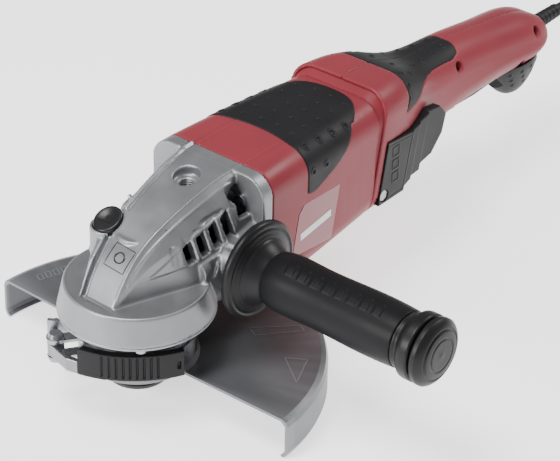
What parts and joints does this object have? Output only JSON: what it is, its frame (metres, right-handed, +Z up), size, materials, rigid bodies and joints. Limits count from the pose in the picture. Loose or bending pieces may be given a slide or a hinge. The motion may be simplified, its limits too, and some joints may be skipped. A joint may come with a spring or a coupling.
{
  "type": "angle grinder",
  "caption": "Large mains angle grinder: cast gear head, half-disc wheel guard with clamp lever, screw-in side handle, long motor body and trigger rear handle.",
  "frame": {"origin": "spindle axis at the seat of the grinding wheel, on the flange's lower face", "axes": "+X from the motor towards the front of the gear head, +Y towards the side handle, +Z up along the spindle, away from the wheel"},
  "size_m": [0.6984, 0.3442, 0.1509],
  "materials": {
    "cast_aluminium": "satin silver casting",
    "machined_aluminium": "machined",
    "bright_steel": "ground",
    "dark_steel": "blackened, oiled",
    "zinc_steel": "zinc plated",
    "guard_paint": "satin grey paint",
    "red_plastic": "satin",
    "black_plastic": "fine grain",
    "soft_grip": "matte soft grip",
    "handle_rubber": "matte",
    "cord_rubber": "matte",
    "seal_rubber": "matte",
    "label_silver": "brushed foil look, blank",
    "laminated_iron": "stacked sheet",
    "copper": "varnished copper",
    "brass": "plain",
    "carbon": "matt",
    "cream_plastic": "satin",
    "lock_black": "semi-gloss"
  },
  "bodies": {
    "tool": {"gear_head": "cast_aluminium", "bearing_cover": "cast_aluminium", "bearing_cover_screws": "zinc_steel", "head_screws": "zinc_steel", "spindle_bearing_outer": "bright_steel", "front_bearing_outer": "bright_steel", "rear_bearing_outer": "bright_steel", "spindle_bush": "brass", "dust_seal": "seal_rubber", "lock_spring": "zinc_steel", "side_handle_stud": "bright_steel", "side_handle_core": "black_plastic", "side_handle_sleeve": "handle_rubber", "side_handle_cap": "black_plastic", "bearing_plate": "machined_aluminium", "motor_grip": "soft_grip", "label_plates": "label_silver", "motor_housing": "red_plastic", "stator_core": "laminated_iron", "stator_coils": "copper", "brush_holders": "brass", "carbon_brushes": "carbon", "brush_springs": "zinc_steel", "pommel_grip": "soft_grip", "rear_shell_left": "red_plastic", "rear_shell_right": "red_plastic", "saddle_grip_left": "soft_grip", "saddle_grip_right": "soft_grip", "side_cover_left": "black_plastic", "side_cover_right": "black_plastic", "shell_screws": "zinc_steel", "switch_body": "cream_plastic", "cable_clamp": "black_plastic", "strain_relief": "cord_rubber", "cord_coil": "cord_rubber", "cord_tube": "cord_rubber", "plug_body": "cord_rubber", "plug_pins": "brass"},
    "spindle": {"spindle": "bright_steel", "crown_gear": "dark_steel", "inner_flange": "dark_steel", "spindle_bearing_inner": "bright_steel"},
    "flange_nut": {"flange_nut": "dark_steel"},
    "armature": {"armature_shaft": "bright_steel", "armature_core": "laminated_iron", "armature_windings": "copper", "commutator": "brass", "fan": "black_plastic", "pinion": "dark_steel", "front_bearing_inner": "bright_steel", "rear_bearing_inner": "bright_steel"},
    "lock_button": {"lock_button": "lock_black"},
    "guard": {"guard": "guard_paint", "clamp_band": "zinc_steel", "clamp_screw": "zinc_steel", "lever_rivet": "zinc_steel"},
    "clamp_lever": {"lever_arm": "zinc_steel", "lever_grip": "black_plastic"},
    "trigger": {"trigger": "black_plastic"},
    "lock_off": {"lock_off": "black_plastic"}
  },
  "joints": [
    {"name": "spindle_spin", "type": "hinge", "parent": "tool", "child": "spindle", "pos_m": [0, 0, 0], "axis": [0, 0, 1], "continuous": true},
    {"name": "nut_slide", "type": "slide", "parent": "spindle", "child": "flange_nut", "axis": [0, 0, -1], "range_m": [0, 0.025]},
    {"name": "armature_spin", "type": "hinge", "parent": "tool", "child": "armature", "pos_m": [0, 0, 0.073], "axis": [1, 0, 0], "continuous": true},
    {"name": "lock_press", "type": "slide", "parent": "tool", "child": "lock_button", "axis": [0, 0, -1], "range_m": [0, 0.0045], "stiffness_N_per_m": 900, "springref_m": -0.003, "deforming": ["lock_spring"]},
    {"name": "guard_turn", "type": "hinge", "parent": "tool", "child": "guard", "pos_m": [0, 0, 0], "axis": [0, 0, 1], "range_deg": [-90, 90]},
    {"name": "lever_swing", "type": "hinge", "parent": "guard", "child": "clamp_lever", "pos_m": [0.04587, -0.03212, 0.02], "axis": [0, 0, -1], "range_deg": [0, 100]},
    {"name": "trigger_pull", "type": "hinge", "parent": "tool", "child": "trigger", "pos_m": [-0.402, 0, 0.061], "axis": [0, -1, 0], "range_deg": [0, 4.5], "stiffness_Nm_per_rad": 2, "springref_deg": -11.46},
    {"name": "lock_off_slide", "type": "slide", "parent": "trigger", "child": "lock_off", "axis": [1, 0, 0], "range_m": [0, 0.003], "stiffness_N_per_m": 300, "springref_m": -0.003}
  ],
  "couplings": [
    {"joint": "armature_spin", "follows": "spindle_spin", "ratio": -3.2}
  ]
}
